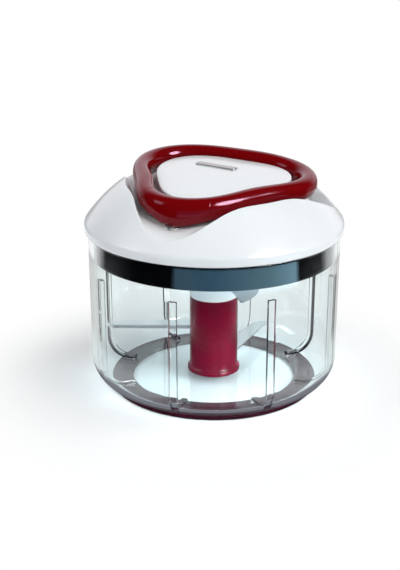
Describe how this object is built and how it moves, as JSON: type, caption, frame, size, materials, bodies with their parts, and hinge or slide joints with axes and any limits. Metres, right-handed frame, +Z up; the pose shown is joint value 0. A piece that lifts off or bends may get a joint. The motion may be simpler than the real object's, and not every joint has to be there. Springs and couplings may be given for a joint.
{
  "type": "pull-string food chopper",
  "caption": "Hand food chopper: clear ribbed bowl on a non-slip ring, blade unit on a pin, domed lid whose triangular ring handle pulls a spring-returned cord to spin the blades.",
  "frame": {"origin": "on the table under the bowl's axis, at the underside of the non-slip ring", "axes": "+Z up along the bowl's axis, front towards -Y, the middle blade at rest points to -X"},
  "size_m": [0.154, 0.154, 0.1348],
  "materials": {
    "clear_plastic": "polished clear moulding",
    "maroon_rubber": "satin soft ring",
    "burgundy_plastic": "glossy, slightly see-through",
    "white_plastic": "glossy cool white",
    "black_plastic": "glossy black",
    "red_plastic": "glossy dark red",
    "grey_plastic": "plain inner moulding",
    "clear_silicone": "matt milky",
    "blade_steel": "fine ground",
    "bright_steel": "turned",
    "badge_metal": "satin plate",
    "white_cord": "braided cord"
  },
  "bodies": {
    "bowl": {"bowl": "clear_plastic", "base_ring": "maroon_rubber", "centre_pin": "bright_steel"},
    "blades": {"blade_shaft": "burgundy_plastic", "shaft_bush": "grey_plastic", "shaft_collar": "white_plastic", "low_blade": "blade_steel", "middle_blade": "blade_steel", "upper_blade": "blade_steel"},
    "lid": {"lid_dome": "white_plastic", "lid_skirt": "black_plastic", "lid_seal": "clear_silicone", "under_plate": "white_plastic", "plate_screws": "bright_steel", "housing": "grey_plastic", "housing_screws": "bright_steel", "spool_axle": "bright_steel", "recoil_spring": "blade_steel", "centre_cap": "white_plastic", "badge_plate": "badge_metal", "roller_pin": "bright_steel", "roller_bracket": "grey_plastic", "cord_lead": "white_cord", "cord_eyelet": "bright_steel"},
    "drive": {"drive_hub": "white_plastic"},
    "spool": {"cord_spool": "grey_plastic", "cord_winding": "white_cord", "pawl_pins": "bright_steel"},
    "pawl_1": {"pawl_1": "bright_steel"},
    "pawl_2": {"pawl_2": "bright_steel"},
    "roller": {"guide_roller": "white_plastic"},
    "handle": {"handle_ring": "red_plastic", "handle_corner": "red_plastic", "corner_dowels": "bright_steel", "knot_plug": "red_plastic", "cord_knot": "white_cord", "pull_cord": "white_cord"}
  },
  "joints": [
    {"name": "lid_lift", "type": "slide", "parent": "bowl", "child": "lid", "axis": [0, 0, 1], "range_m": [0, 0.12]},
    {"name": "handle_pull", "type": "slide", "parent": "lid", "child": "handle", "axis": [0, 0, 1], "range_m": [0, 0.3], "stiffness_N_per_m": 10, "springref_m": -0.3, "deforming": ["pull_cord"]},
    {"name": "blade_turn", "type": "hinge", "parent": "bowl", "child": "blades", "pos_m": [0, 0, 0.02], "axis": [0, 0, 1], "range_deg": [0, 765]},
    {"name": "drive_turn", "type": "hinge", "parent": "lid", "child": "drive", "pos_m": [0, 0, 0.088], "axis": [0, 0, 1], "range_deg": [0, 765]},
    {"name": "spool_turn", "type": "hinge", "parent": "lid", "child": "spool", "pos_m": [0, 0, 0.1], "axis": [0, 0, 1], "range_deg": [0, 765]},
    {"name": "roller_turn", "type": "hinge", "parent": "lid", "child": "roller", "pos_m": [-0.0225, -0.0425, 0.1011], "axis": [-1, 0, 0], "range_deg": [0, 3440]},
    {"name": "pawl_1_swing", "type": "hinge", "parent": "spool", "child": "pawl_1", "pos_m": [0.01056, 0.00934, 0.0885], "axis": [0, 0, 1], "range_deg": [0, 18], "stiffness_Nm_per_rad": 0.002, "springref_deg": -11.46},
    {"name": "pawl_2_swing", "type": "hinge", "parent": "spool", "child": "pawl_2", "pos_m": [-0.01056, -0.00934, 0.0885], "axis": [0, 0, 1], "range_deg": [0, 18], "stiffness_Nm_per_rad": 0.002, "springref_deg": -11.46}
  ],
  "couplings": [
    {"joint": "blade_turn", "follows": "handle_pull", "rad_per_m": 44.444},
    {"joint": "drive_turn", "follows": "handle_pull", "rad_per_m": 44.444},
    {"joint": "spool_turn", "follows": "handle_pull", "rad_per_m": 44.444},
    {"joint": "roller_turn", "follows": "handle_pull", "rad_per_m": 200}
  ]
}
